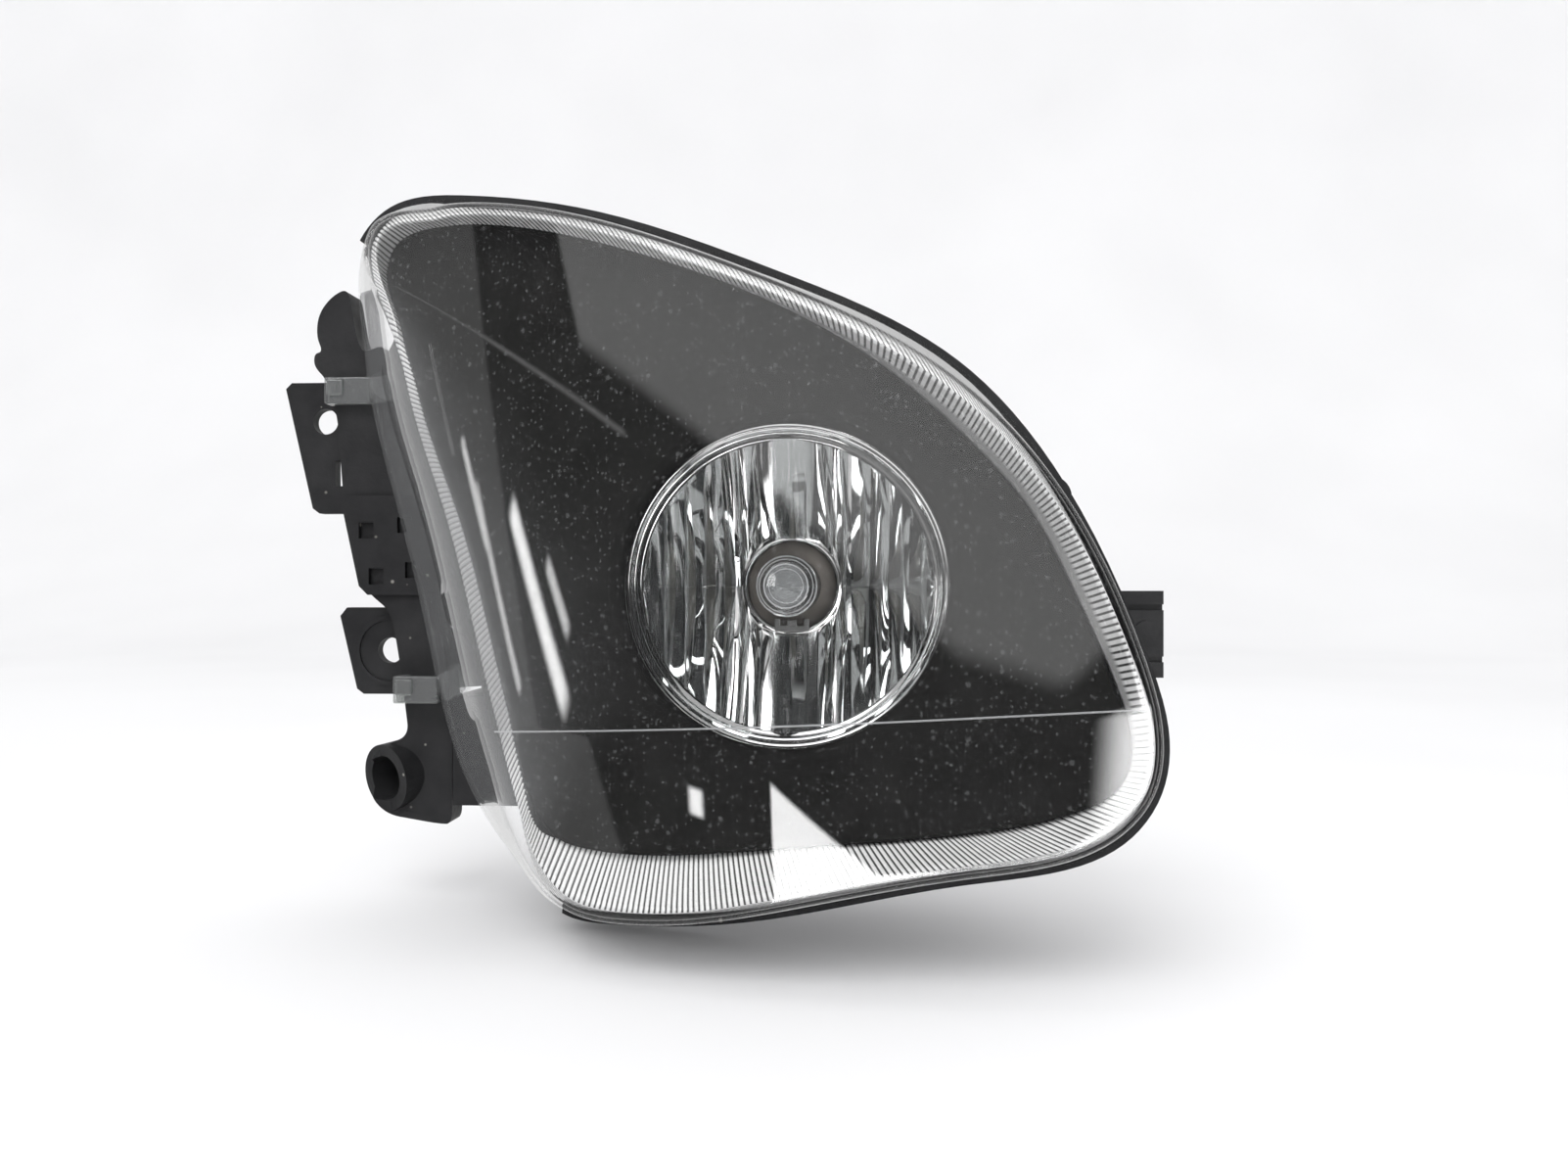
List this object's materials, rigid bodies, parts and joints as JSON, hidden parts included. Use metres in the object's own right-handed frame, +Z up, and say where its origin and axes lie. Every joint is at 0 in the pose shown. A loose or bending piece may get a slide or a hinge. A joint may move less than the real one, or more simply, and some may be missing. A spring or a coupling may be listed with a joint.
{
  "type": "fog light",
  "caption": "Teardrop-shaped corner fog light with a clear wrap-around lens, round faceted reflector, rear plug bulb and a side bracket with fixing plates.",
  "frame": {"origin": "centre of the lower fixing hole at the front face of the fixing plate", "axes": "-Y is the way the lamp shines, +Z is up, +X is to the right of someone looking at the lens"},
  "size_m": [0.197, 0.1038, 0.1567],
  "materials": {
    "clear_lens": "clear hard-coated plastic, fluted at the edge",
    "sealant": "soft sealant",
    "housing_black": "fine-grained moulded plastic",
    "bezel_grey": "satin dark grey",
    "chrome_coat": "mirror-bright vacuum coating",
    "steel": "plain steel",
    "nylon": "natural nylon",
    "rubber_black": "moulded rubber",
    "bulb_clear": "clear quartz",
    "tungsten": "coiled wire",
    "bulb_black": "heat-resisting plastic",
    "collar_metal": "pressed sheet"
  },
  "bodies": {
    "housing": {"outer_lens": "clear_lens", "lens_seal": "sealant", "housing": "housing_black", "vent_cap": "rubber_black", "bezel": "bezel_grey", "pivot_bushes": "nylon", "adjuster_bush": "nylon", "rubber_boot": "rubber_black", "boot_clamp_ring": "steel", "mounting_bracket": "housing_black", "bracket_screws": "steel"},
    "reflector": {"reflector": "chrome_coat", "pivot_pins": "steel"},
    "adjuster": {"adjuster_screw": "steel", "adjuster_gear": "nylon", "adjuster_oring": "rubber_black", "adjuster_clip": "steel"},
    "nut": {"adjuster_nut": "nylon"},
    "bulb": {"bulb_glass": "bulb_clear", "bulb_filament": "tungsten", "bulb_supports": "steel", "bulb_collar": "collar_metal", "bulb_base": "bulb_black", "bulb_terminals": "steel", "bulb_seal_ring": "rubber_black"}
  },
  "joints": [
    {"name": "reflector_tilt", "type": "hinge", "parent": "housing", "child": "reflector", "pos_m": [0.095, -0.029, 0.015], "axis": [1, 0, 0], "range_deg": [-3, 3]},
    {"name": "adjuster_turn", "type": "hinge", "parent": "housing", "child": "adjuster", "pos_m": [0.028, 0.015, -0.025], "axis": [0, 1, 0], "range_deg": [-760, 760]},
    {"name": "nut_slide", "type": "slide", "parent": "housing", "child": "nut", "axis": [0, 1, 0], "range_m": [-0.0022, 0.0022]},
    {"name": "bulb_turn", "type": "hinge", "parent": "reflector", "child": "bulb", "pos_m": [0.095, -0.005, 0.015], "axis": [0, 1, 0], "range_deg": [0, 45]}
  ],
  "couplings": [
    {"joint": "adjuster_turn", "follows": "reflector_tilt", "ratio": -251.33},
    {"joint": "nut_slide", "follows": "reflector_tilt", "m_per_rad": 0.04}
  ]
}
